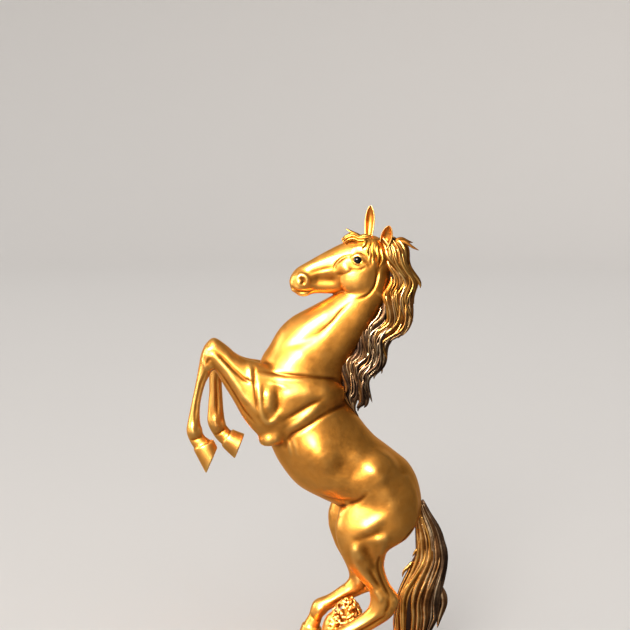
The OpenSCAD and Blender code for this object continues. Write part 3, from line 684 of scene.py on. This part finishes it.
def join(name, shapes):
    """One mesh from many (shape, crest, gilt): crest is 1 on top of a strand, and gilt is how much gold
    the lock shows."""
    points, faces, crests, gilts, start = [], [], [], [], 0
    for (p, triangles, quads), crest, gilt in shapes:
        points.append(p)
        faces += (triangles + start).tolist() + (quads + start).tolist()
        crests.append(crest)
        gilts.append(np.full(len(p), gilt))
        start += len(p)
    mesh = closed_mesh(name, np.vstack(points), faces)
    write_values(mesh, "crest", np.concatenate(crests))
    write_values(mesh, "gilt", np.concatenate(gilts))
    return mesh


# Layers of locks: (place across the mane, locks in a row, half width, strands round a lock).
MANE_LAYERS = [
    (0.82, 9, 3.2, 5), (0.55, 10, 3, 5), (0.3, 10, 2.8, 5), (0.05, 11, 2.4, 4), (-0.1, 14, 1.5, 3),
    (0.2, 8, 1.1, 2), (0.45, 8, 1.1, 2), (0.7, 6, 1.1, 2)
]
MANE_WAVE = 0.21                                # length of a wave, as a share of the mane's
# Gold left on the locks, from the poll to the withers: (places along the mane, how much).
MANE_GILT = ([0, 0.3, 0.5, 0.8, 1], [0.95, 0.8, 0.25, 0.3, 0.6])


def mane(hair):
    """Wavy locks in layers over a plain core, in three groups from the poll to the withers."""
    crest, outer = spline(CREST, 10), spline(OUTER, 10)
    last = len(crest) - 1
    names = ["mane_upper_locks", "mane_middle_locks", "mane_lower_locks"]
    groups = {name: [] for name in names}
    cores = [(0, 45, names[0]), (40, 75, names[1]), (70, last, names[2])]
    for start, end, name in cores:
        front, back = crest[start:end + 1:5], outer[start:end + 1:5]
        ribs = [[f[0] - 4, f[1], f[0] + (b[0] - f[0]) * 0.72, f[1] + (b[1] - f[1]) * 0.72, 0, 3.4]
                for f, b in zip(front, back)]
        shape = loft(ribs, steps=3, sides=20)
        groups[name].append((shape, np.zeros(len(shape[0])), 0.3))
    for out, rows, width, strands in MANE_LAYERS:
        for i in range(rows):
            for side in (LEFT, RIGHT) if out < 0.8 else (0,):
                u = (i + RNG.uniform(0, 0.6)) / rows * 0.86 - 0.02
                t = np.linspace(0, 1, 34)
                along = u + RNG.uniform(0.18, 0.27) * t
                reach = RNG.uniform(0.17, 0.27)
                swing = reach * np.sin(2 * np.pi * along / MANE_WAVE + 1.2 + RNG.uniform(-0.5, 0.5))
                flick = (0.16 if width > 1.2 else 0.04) * np.clip((t - 0.7) / 0.3, 0, 1) ** 1.6
                across = out * (1 - 0.08 * t) + (0.5 - 0.4 * out) * t ** 1.4 + flick
                across += swing * (0.3 + 0.7 * t) * (1 - 0.35 * out)
                k = np.clip(along * last, 0, last)
                x, z = between(crest, outer, k, across)
                y = side * (0.8 + 3.6 * np.clip(1 - across, 0, 1.1) ** 0.7 + 0.9 * np.sin(np.pi * t))
                y = y + side * 0.9 * (width < 2) + RNG.uniform(-0.4, 0.4)
                name = names[0] if u < 0.33 else names[1] if u < 0.6 else names[2]
                half = width * RNG.uniform(0.75, 1.15) * (1 - 0.3 * u)
                path = np.stack([x, y, z], -1)
                shape, top = lock(path, half, 0.45 * half + 0.6, strands, RNG.uniform(0, 6))
                gilt = np.interp(u, *MANE_GILT) + RNG.uniform(-0.3, 0.3)
                groups[name].append((shape, top, gilt))
    for tip, y in [((39.4, 272.4), -1), ((36, 277), 1.5)]:
        path = wave((24, 278), tip, 1.5, 0.6, 0, 0, y)
        groups[names[0]].append((*lock(path, 1.3, 1, 3, 0), 0.9))
    for name in names:
        add_object(name + "_piece", join(name, groups[name]), hair, name)


# The tail's two edges, (x, z) from the dock down to the ground.
TAIL_INNER = [
    (38, 113), (39.5, 104), (40, 95), (40, 86), (40, 78), (37, 70), (33, 62), (29.5, 54), (27.5, 45),
    (26, 35), (25.5, 25), (26.5, 14)
]
TAIL_OUTER = [
    (44, 116), (48, 107), (53, 98), (57, 88), (60, 77), (59.5, 66), (57.5, 56), (55.5, 46), (54, 38),
    (50, 29), (46, 21), (42, 14)
]

# Layers of locks: (locks across the tail, half width, strands round a lock, how far out they lie,
# how far they swing, where they start, their length), the last two as shares of the tail's length.
TAIL_LAYERS = [
    (8, 2.9, 4, 0.8, 0.08, (0, 0.03), 0.97), (6, 2.6, 4, 0.98, 0.13, (0, 0.25), 0.7),
    (6, 2.4, 4, 1.02, 0.13, (0.3, 0.5), 0.52), (6, 1.1, 2, 1.15, 0.13, (0.04, 0.5), 0.5)
]


def tail(hair):
    """Locks in layers round a core, with the outermost ones on the left as a casting of their own."""
    inner, outer = spline(TAIL_INNER, 8), spline(TAIL_OUTER, 8)
    last = len(inner) - 1
    main, free = [], []
    core = [[*i, *(i + (o - i) * 0.8), 0, w] for i, o, w in
            zip(inner[::8] + [1.5, 0], outer[::8], [2, 2.6, 3.4, 4.2, 5, 5.4, 5.6, 5.6, 5.4, 5, 4.6, 4])]
    shape = loft(core, steps=4, sides=24)
    main.append((shape, np.zeros(len(shape[0])), 0.1))
    for count, half, strands, lift, swing, starts, length in TAIL_LAYERS:
        for i in range(count):
            for side in (LEFT, RIGHT):
                v = (i + 0.5 + RNG.uniform(-0.25, 0.25)) / count
                begin = last * RNG.uniform(*starts)
                end = min(begin + last * length * RNG.uniform(0.9, 1.1), last * (1 - 0.16 * max(0, v - 0.6)))
                k = np.linspace(begin, end, 44)
                phase = k / last * 7.5 + 1.2 * v + RNG.uniform(-0.5, 0.5)
                share = np.clip(v + swing * np.sin(phase) * np.clip(k / 20, 0.15, 1), 0.06, 0.94)
                x, z = between(inner, outer, k, share)
                spread_y = np.interp(k, [0, last * 0.4, last], [2, 5.6, 5.8])
                y = side * lift * spread_y * np.sqrt(np.clip(1 - (2 * share - 1) ** 2, 0.08, 1))
                wide = half * RNG.uniform(0.8, 1.2) * np.interp(np.mean(k), [0, last * 0.4], [0.6, 1])
                path = np.stack([x, y, z], -1)
                shape, top = lock(path, wide, 0.5 * wide + 0.5, strands, RNG.uniform(0, 6))
                gilt = 1.05 - 1.1 * v + 0.35 * (np.mean(k) / last - 0.4) + RNG.uniform(-0.25, 0.3)
                (free if v > 0.86 and side == LEFT else main).append((shape, top, gilt))
    for root, tip, bow in [((42, 90), (37.6, 79), 1.2), ((38.5, 76), (31.4, 65.6), -1)]:
        main.append((*lock(wave(root, tip, bow, 0.6, 0, -2, -3), 1.5, 1.3, 3, 0), 0.9))
    flick = wave((56, 60), (54.2, 31.5), 2.5, 1, 0, -2, -2.5)
    free.append((*lock(flick, 2.6, 2, 4, 1), 0.4))
    add_object("tail_hair", join("tail_hair", main), hair, "tail_casting")
    add_object("tail_free_hair", join("tail_free_hair", free), hair, "tail_free_lock")


# Short locks that hang beside the ear: (root (x, z), tip (x, z), how far out the tip lies).
TEMPLE_LOCKS = [
    ((6, 280), (4.6, 273), 8.4), ((8, 280), (7.4, 269.5), 9.6), ((10.4, 280), (10.2, 266), 9.7),
    ((13, 278), (12.8, 265), 9.2), ((15.6, 276), (15, 262), 8.2)
]


def forelock(gold_hair):
    """Strands combed forward over the brow, a tuft above them and short locks at the temples."""
    shapes = []
    for i, y in enumerate(np.linspace(-5.4, 5.4, 11)):
        drop = 0.06 * y * y
        lift = 0.7 * (i % 2)
        line = [(15, 0.8 * y, 278), (8, y, 280.6 - drop + lift), (3, y, 280.2 - drop + lift),
                (-1.5, 0.9 * y, 281.4 - drop + 1.5 * lift), (-5 - lift, 0.8 * y, 280 - drop + lift),
                (-8 + 0.1 * y * y, 0.7 * y, 277.4 - drop + 2 * lift)]
        shapes.append((*lock(spline(line, 6), 1.25, 1.3, 4, i), 0.9))
    for y in (-2.4, 0.2, 1.8):
        line = [(4, y, 281), (-1, y, 283.2), (-5.4, 0.8 * y, 285.6)]
        shapes.append((*lock(spline(line, 6), 1, 1, 3, y), 0.9))
    for i, (root, tip, y) in enumerate(TEMPLE_LOCKS):
        for side in (LEFT, RIGHT):
            path = wave(root, tip, 0.6, 0.7, i, side * 6.4, side * y, side * 1.4)
            shapes.append((*lock(path, 1.25, 1.1, 3, i), 0.9))
    add_object("forelock_hair", join("forelock_hair", shapes), gold_hair, "forelock")


# ---------------- ears

def ear(node, base, tip, across, opening, width, gold):
    """A cupped leaf with a thick rim, opening towards one side."""
    base, tip = np.array(base, float), np.array(tip, float)
    t = np.linspace(0, 1, 26)[:, None]
    across, opening = np.array(across, float), np.array(opening, float)
    across /= np.linalg.norm(across)
    opening /= np.linalg.norm(opening)
    middle = base + (tip - base) * t - opening * 0.8 * np.sin(np.pi * t)
    share = np.interp(t, [0, 0.2, 0.5, 0.7, 0.85, 0.95, 1], [0.6, 0.84, 1, 0.93, 0.7, 0.4, 0.12])
    half = width * share
    a = np.radians(np.linspace(-100, 100, 15))
    b = a[::-1]
    thick = np.minimum(0.7, half * 0.45)
    outer_ring = across * (half * np.sin(a))[..., None] - opening * (0.75 * half * np.cos(a))[..., None]
    inner = half - thick
    inner_ring = across * (inner * np.sin(b))[..., None] - opening * (0.75 * inner * np.cos(b))[..., None]
    points, triangles, quads = skin(middle[:, None] + np.concatenate([outer_ring, inner_ring], 1))
    name = node + "_leaf"
    mesh = closed_mesh(name, points, triangles.tolist() + quads.tolist())
    rim, back, cup = 0.35, 0.15, -0.12                    # relief round each ring: rubbed rim, washed cup
    around = [rim] + [back] * 13 + [rim, rim] + [cup] * 13 + [rim]
    write_values(mesh, "relief", np.append(np.tile(around, len(t)), [0, 0.3]))
    obj = add_object(name, mesh, gold, node)
    soft = obj.modifiers.new("soft", "SUBSURF")
    soft.levels = soft.render_levels = 1


# ---------------- ground and foliage

def clay_piece(name, node, clay, steps, material):
    """A piece of clay that no joint cuts."""
    add_object(name, casting(name, clay, steps, []), material, node)


def oval(half_l, half_w, inset, a):
    """The ground's uneven oval, drawn in by inset: x and y at the angles a."""
    edge = 1 + 0.022 * np.sin(3 * a + 0.7) + 0.014 * np.sin(5 * a) + 0.01 * np.sin(9 * a + 0.26)
    return (half_l - inset) * np.cos(a) * edge, (half_w - inset) * np.sin(a) * edge


STUDS = [(-15, -13), (-29, 13), (34, 0)]        # under the two hind hooves and the tail, (x, y)


def ground(gold):
    """The oval ground, hammered like trodden earth, with the pockets for its nuts."""
    lo, hi = [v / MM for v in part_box("ground_casting")]
    half_l, half_w = (hi.x - lo.x) / 2 / 1.03, (hi.y - lo.y) / 2 / 1.03
    a = np.radians(np.arange(0, 360, 5))
    rim = GROUND_TOP - 4.5 + 1.1 * np.sin(4 * a + 0.52) + 0.8 * np.sin(7 * a)
    rings = []
    for inset, z in [(0, 0 * a + lo.z), (0, rim - 3), (3, rim + 1.6), (8, 0 * a + GROUND_TOP - 0.4)]:
        rings.append(np.stack([*oval(half_l, half_w, inset, a), z], -1))
    steps = [press(skin(np.array(rings)), 0.5)]
    for _ in range(120):
        r, s = math.sqrt(RNG.random()), RNG.uniform(0, 2 * math.pi)
        x, y = (half_l - 3) * r * math.cos(s), (half_w - 3) * r * math.sin(s)
        size = RNG.uniform(2.4, 5)
        z = GROUND_TOP - 0.5 - 5.5 * max(0, r - 0.78) / 0.22
        steps.append(press(ball((x, y, z - 0.55 * size), (size, size * 0.8, size * 0.62)), 1.6))
    for x, y in STUDS:
        steps.append(press(cylinder(x, y, -5, 6.6, 6), 0.1, add=False))        # pocket for the nut
        steps.append(press(cylinder(x, y, -5, 30, 2.2), 0.1, add=False))       # hole for the stud
    clay = Clay((-58, -38, -2), (58, 38, 22), 0.7)
    clay_piece("ground_earth", "ground_casting", clay, steps, gold)


LEAVES = 620
GOLDEN_ANGLE = 2.39996                          # in radians


def foliage(leaf_gold):
    """A mound of small curled leaves, set out on a golden-angle spiral."""
    steps = [press(ball((-12, 1, 24), (8, 7, 17)), 1.5), press(ball((-2, 1, 27), (8, 7, 20)), 1.5)]
    for i in range(LEAVES):
        t = (i + 0.5) / LEAVES
        angle = GOLDEN_ANGLE * i + RNG.uniform(-0.5, 0.5)
        z = 15 + 34 * t + RNG.uniform(-1.2, 1.2)
        reach = math.sqrt(max(0.05, 1 - ((z - 22) / 28) ** 2)) if z > 22 else 1
        x = -7 + 4.5 * t + 12.5 * reach * math.cos(angle)
        y = 1 + 7.2 * reach * math.sin(angle)
        size = RNG.uniform(0.75, 1.3)
        leaf = ball((x, y, z), (size * 1.2, size * 0.8, size * 0.7), RNG.uniform(-80, 80))
        steps.append(press(leaf, 0.15))
        dent = np.array([[x + math.cos(angle), y + math.sin(angle), z + 0.7]])
        steps.append(partial(Clay.rub, points=dent, width=0.7, heights=np.array([-0.42])))
    clay = Clay((-26, -12, 12), (12, 14, 54), 0.34)
    clay_piece("foliage_leaves", "foliage_clump", clay, steps, leaf_gold)


# Felt's edge from its underside to its top: (inset from the edge, share of its thickness).
FELT_PROFILE = [
    (24, 0), (16, 0), (8, 0), (2, 0), (0.4, 0), (0.1, 0.2), (0, 0.5), (0.1, 0.8), (0.4, 1), (2, 1), (8, 1),
    (16, 1), (24, 1)
]


def felt_sheet(felt):
    """The felt under the ground: a sheet with soft, slightly ragged edges."""
    lo, hi = [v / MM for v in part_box("felt_pad")]
    half_l, half_w, thick = (hi.x - lo.x) / 2 * 0.98, (hi.y - lo.y) / 2 * 0.98, hi.z
    a = np.radians(np.arange(0, 360, 1.5))
    rings = []
    for inset, z in FELT_PROFILE:
        ragged = inset + RNG.uniform(0, 0.3, len(a)) * (inset < 1)
        nap = np.clip(z * thick + RNG.uniform(-0.05, 0.05, len(a)), 0, thick)
        rings.append(np.stack([*oval(half_l, half_w, ragged, a), nap], -1))
    points, triangles, quads = skin(np.array(rings))
    mesh = closed_mesh("felt_sheet", points, triangles.tolist() + quads.tolist())
    obj = add_object("felt_sheet", mesh, felt, "felt_pad")


# ---------------- materials

def new_material(name):
    material = bpy.data.materials.new(name)
    material.use_nodes = True
    tree = material.node_tree
    return material, tree, tree.nodes["Principled BSDF"]


def feed(tree, target, inputs):
    """Fills a node's inputs: a socket is linked, and anything else is set as the input's own value."""
    for key, value in inputs.items():
        if isinstance(value, bpy.types.NodeSocket):
            tree.links.new(value, target.inputs[key])
        else:
            target.inputs[key].default_value = value


def node(tree, kind, inputs, **settings):
    made = tree.nodes.new(kind)
    for key, value in settings.items():
        setattr(made, key, value)
    feed(tree, made, inputs)
    return made


def attribute(tree, name):
    return node(tree, "ShaderNodeAttribute", {}, attribute_name=name).outputs["Fac"]


def noise(tree, scale, detail=4, roughness=0.5):
    place = node(tree, "ShaderNodeTexCoord", {}).outputs["Object"]
    inputs = {"Vector": place, "Scale": scale, "Detail": detail, "Roughness": roughness}
    return node(tree, "ShaderNodeTexNoise", inputs).outputs["Fac"]


def ramp(tree, value, stops):
    made = node(tree, "ShaderNodeValToRGB", {"Fac": value})
    points = made.color_ramp.elements
    while len(points) < len(stops):
        points.new(0.5)
    for point, (position, color) in zip(points, stops):
        point.position = min(1, position)
        point.color = (*color, 1)
    return made.outputs["Color"]


def math_node(tree, operation, a, b):
    return node(tree, "ShaderNodeMath", {0: a, 1: b}, operation=operation).outputs[0]


def spread(tree, value, low, high, to_low, to_high):
    """The value, carried over from one range to another and held at its ends."""
    inputs = {"Value": value, "From Min": low, "From Max": high, "To Min": to_low, "To Max": to_high}
    return node(tree, "ShaderNodeMapRange", inputs).outputs["Result"]


def bump(tree, height, distance, strength=1.0):
    inputs = {"Height": height, "Distance": distance, "Strength": strength}
    return node(tree, "ShaderNodeBump", inputs).outputs["Normal"]


def gold_material(name, reach=1.0, shade=1.0):
    """Satin gold: brushed unevenly, browner in the grooves and paler where it is rubbed, and browner on the
    neck beside the mane, where painted shade comes in through the relief.
    """
    material, tree, shader = new_material(name)
    # Patina and wear from the relief, with the painted shade beside the mane in it too.
    wear_and_painted_shade = spread(tree, attribute(tree, "relief"), -0.42 * reach, 0.42, 0, 1)
    cloud = spread(tree, noise(tree, 150, 6, 0.7), 0.3, 0.7, -0.07, 0.07)
    tints = [(0.0, (0.14, 0.034, 0.003)), (0.28, (0.43, 0.14, 0.011)), (0.5, (0.79, 0.325, 0.05)),
             (1.0, (0.95, 0.53, 0.14))]
    tints = [(place, [shade * c for c in tint]) for place, tint in tints]
    coarse = math_node(tree, "MULTIPLY", noise(tree, 130, 3), 1.5)
    grain = math_node(tree, "ADD", noise(tree, 900, 4, 0.6), coarse)
    feed(tree, shader, {
        "Base Color": ramp(tree, math_node(tree, "ADD", wear_and_painted_shade, cloud), tints),
        "Metallic": 0.88,
        "Specular Tint": (0.95, 0.65, 0.25, 1),
        "Coat Weight": 0.3,
        "Coat Roughness": 0.28,
        "Roughness": spread(tree, noise(tree, 220, 6, 0.65), 0.3, 0.7, 0.31, 0.43),
        "Normal": bump(tree, grain, 0.00012, 0.5),
    })
    return material


def hair_material():
    """Gold rubbed off the strands' tops over a dark wash that stays between them."""
    material, tree, shader = new_material("washed_gold_hair")
    gilt = attribute(tree, "gilt")
    patch = spread(tree, noise(tree, 90, 4, 0.6), 0.3, 0.7, -0.28, 0.28)
    worn = math_node(tree, "ADD", attribute(tree, "crest"), patch)
    worn = math_node(tree, "ADD", worn, spread(tree, gilt, 0, 1, -0.1, 0.16))
    gold = ramp(tree, worn, [(0.25, (0.05, 0.014, 0.002)), (0.5, (0.24, 0.08, 0.009)),
                             (0.78, (0.5, 0.2, 0.03)), (1.0, (0.8, 0.43, 0.11))])
    washed = ramp(tree, worn, [(0.25, (0.022, 0.011, 0.007)), (0.55, (0.09, 0.048, 0.026)),
                               (0.82, (0.28, 0.165, 0.09)), (1.0, (0.76, 0.57, 0.36))])
    gilding = {0: spread(tree, gilt, 0.3, 0.8, 0, 1), 6: washed, 7: gold}
    feed(tree, shader, {
        "Base Color": node(tree, "ShaderNodeMix", gilding, data_type="RGBA").outputs[2],
        "Metallic": 0.92,
        "Roughness": spread(tree, worn, 0.2, 1, 0.5, 0.3),
        "Normal": bump(tree, noise(tree, 700, 4), 0.0001, 0.5),
    })
    return material


def gold_hair_material():
    """The forelock: the same gold as the head, with brown between its strands."""
    material, tree, shader = new_material("gold_hair")
    cloud = spread(tree, noise(tree, 90), 0.3, 0.7, -0.15, 0.15)
    tints = [(0.0, (0.12, 0.035, 0.003)), (0.4, (0.45, 0.18, 0.015)), (1.0, (0.9, 0.5, 0.1))]
    feed(tree, shader, {
        "Base Color": ramp(tree, math_node(tree, "ADD", attribute(tree, "crest"), cloud), tints),
        "Metallic": 1,
        "Roughness": spread(tree, noise(tree, 220, 6), 0.3, 0.7, 0.28, 0.4),
        "Normal": bump(tree, noise(tree, 800, 4), 0.0001, 0.5),
    })
    return material


def plain_material(name, dark, light, metallic, rough, depth):
    """A material whose colour and gloss wander between two values, with a fine grain."""
    material, tree, shader = new_material(name)
    cloud = noise(tree, 300, 5, 0.6)
    feed(tree, shader, {
        "Base Color": ramp(tree, cloud, [(0.3, dark), (0.7, light)]),
        "Metallic": metallic,
        "Roughness": spread(tree, cloud, 0.3, 0.7, *rough),
        "Normal": bump(tree, noise(tree, 1800, 3), depth, 0.6),
    })
    return material, shader


def felt_material():
    """Matted green wool: fibres in every direction, with a soft sheen."""
    material, tree, shader = new_material("green_felt_wool")
    clumps = math_node(tree, "MULTIPLY", noise(tree, 300, 4), 0.6)
    fibres = math_node(tree, "ADD", noise(tree, 1400, 8, 0.8), clumps)
    feed(tree, shader, {
        "Base Color": ramp(tree, fibres, [(0.5, (0.006, 0.03, 0.016)), (1.0, (0.03, 0.11, 0.06))]),
        "Roughness": 0.95,
        "Sheen Weight": 0.5,
        "Specular IOR Level": 0.15,
        "Normal": bump(tree, fibres, 0.0003),
    })
    return material


FIXINGS = ["neck_dowels", "foreleg_dowels", "hind_leg_dowels", "tail_dowel", "hoof_studs", "tail_stud",
           "stud_washers", "stud_nuts"]


def dress_cad_nodes():
    """Enamel and steel for the CAD nodes that keep their own shape."""
    eye, eye_shader = plain_material("eye_enamel", (0.004, 0.004, 0.006), (0.02, 0.016, 0.014), 0,
                                     (0.04, 0.09), 0.00001)
    eye_shader.inputs["Specular IOR Level"].default_value = 0.4
    steel, _ = plain_material("fixing_steel", (0.42, 0.43, 0.45), (0.6, 0.61, 0.63), 1, (0.3, 0.45), 0.00003)
    dress = {"left_eye": eye, "right_eye": eye} | {name: steel for name in FIXINGS}
    for name, material in dress.items():
        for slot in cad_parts[name].material_slots:
            slot.material = material


# ---------------- studio

def light(name, location, target, size, power, color=(1, 1, 1), diffuse=True, glossy=True):
    """A rectangle of light that the camera doesn't see, for surfaces' own colour, their gloss or both."""
    lamp = bpy.data.lights.new(name, "AREA")
    lamp.shape = "RECTANGLE"
    lamp.size, lamp.size_y = size
    lamp.energy = power
    lamp.color = color
    obj = bpy.data.objects.new(name, lamp)
    obj.location = location
    obj.rotation_euler = (Vector(target) - Vector(location)).to_track_quat("-Z", "Y").to_euler()
    obj.visible_diffuse, obj.visible_glossy, obj.visible_camera = diffuse, glossy, False
    bpy.context.scene.collection.objects.link(obj)


FLOOR_REACH = 4        # metres from the statue to where the floor starts to curve up
WALL_BEND = 2.2        # metres that the floor's edge rises, all round


def pale_floor():
    """A matt disc whose edge curves up all round, left out of the gold's reflections."""
    material, tree, shader = new_material("pale_floor")
    feed(tree, shader, {"Base Color": (0.72, 0.7, 0.68, 1), "Roughness": 1, "Specular IOR Level": 0})
    bend = np.radians(np.linspace(0, 90, 25))
    radii = np.concatenate([[0.01, 1, 2.5], FLOOR_REACH + WALL_BEND * np.sin(bend)])
    heights = np.concatenate([[0, 0, 0], WALL_BEND * (1 - np.cos(bend))])
    a = turn(96)
    rings = [radii[:, None] * np.cos(a), radii[:, None] * np.sin(a), heights[:, None] + 0 * a]
    points, triangles, quads = skin(np.stack(rings, -1))
    middle = triangles[:len(a)]
    mesh = bpy.data.meshes.new("floor")
    mesh.from_pydata(points.tolist(), [], middle.tolist() + quads.tolist())
    mesh.shade_smooth()
    mesh.materials.append(material)
    floor = bpy.data.objects.new("floor", mesh)
    floor.visible_glossy = False
    bpy.context.scene.collection.objects.link(floor)


def lights():
    aim = (-0.02, 0, 0.17)
    light("key", (-0.5, -1.2, 0.85), aim, (0.6, 0.6), 7, (1, 0.95, 0.88))
    light("softbox", (-0.52, -1.2, 0.8), aim, (0.5, 0.6), 62, (1, 0.94, 0.84), diffuse=False)
    light("side", (-1.3, -0.1, 0.5), aim, (0.4, 0.9), 10, (1, 0.95, 0.86), diffuse=False)
    light("overhead", (0, 0, 5), (0, 0.01, 0), (12, 12), 400, glossy=False)


def surroundings():
    """A dim room to reflect: lighter low down, at the front left and on the horse's far side."""
    world = bpy.data.worlds.new("studio")
    world.use_nodes = True
    bpy.context.scene.world = world
    tree = world.node_tree
    direction = node(tree, "ShaderNodeTexCoord", {}).outputs["Generated"]
    axes = node(tree, "ShaderNodeSeparateXYZ", {"Vector": direction}).outputs
    window = {0: direction, 1: (-0.55, -0.6, 0.58)}
    towards = node(tree, "ShaderNodeVectorMath", window, operation="DOT_PRODUCT").outputs["Value"]
    open_side = spread(tree, axes["X"], -0.5, 0.7, 1, 0.25)
    haze = math_node(tree, "MULTIPLY", spread(tree, axes["Z"], -0.05, 0.8, 0.3, 0.08), open_side)
    glow = math_node(tree, "ADD", haze, spread(tree, towards, 0.3, 1, 0, 0.5))
    glow = math_node(tree, "ADD", glow, spread(tree, axes["Y"], 0.35, 1, 0, 0.45))
    color = ramp(tree, glow, [(0.0, (0, 0, 0)), (1.0, (1, 0.93, 0.86))])
    feed(tree, tree.nodes["Background"], {"Color": color, "Strength": 1})


def camera():
    bpy.context.scene.view_settings.view_transform = "Standard"       # keeps the gold from turning pink
    data = bpy.data.cameras.new("camera")
    data.sensor_width = 36
    data.lens = 52.57
    obj = bpy.data.objects.new("camera", data)
    obj.location = (-24 * MM, -561.5 * MM, 301.6 * MM)
    obj.rotation_euler = Euler((math.radians(83), 0, 0))
    bpy.context.scene.collection.objects.link(obj)
    bpy.context.scene.camera = obj


def main():
    camera()
    pale_floor()
    lights()
    surroundings()
    gold, hair, gold_hair = gold_material("satin_gold"), hair_material(), gold_hair_material()
    build_horse(gold)
    ear("left_ear", (16.4, -6.6, 273), (20.6, -8.6, 287.6), (1, -0.3, -0.35), (-0.35, -1, 0.1), 3.7, gold)
    ear("right_ear", (8.8, 6, 279), (10, 7, 299.4), (1, -0.3, 0), (-0.35, -1, 0), 3.2, gold)
    mane(hair)
    tail(hair)
    forelock(gold_hair)
    ground(gold)
    foliage(gold_material("leaf_gold", 0.9, 0.95))
    felt_sheet(felt_material())
    dress_cad_nodes()
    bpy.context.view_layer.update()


main()
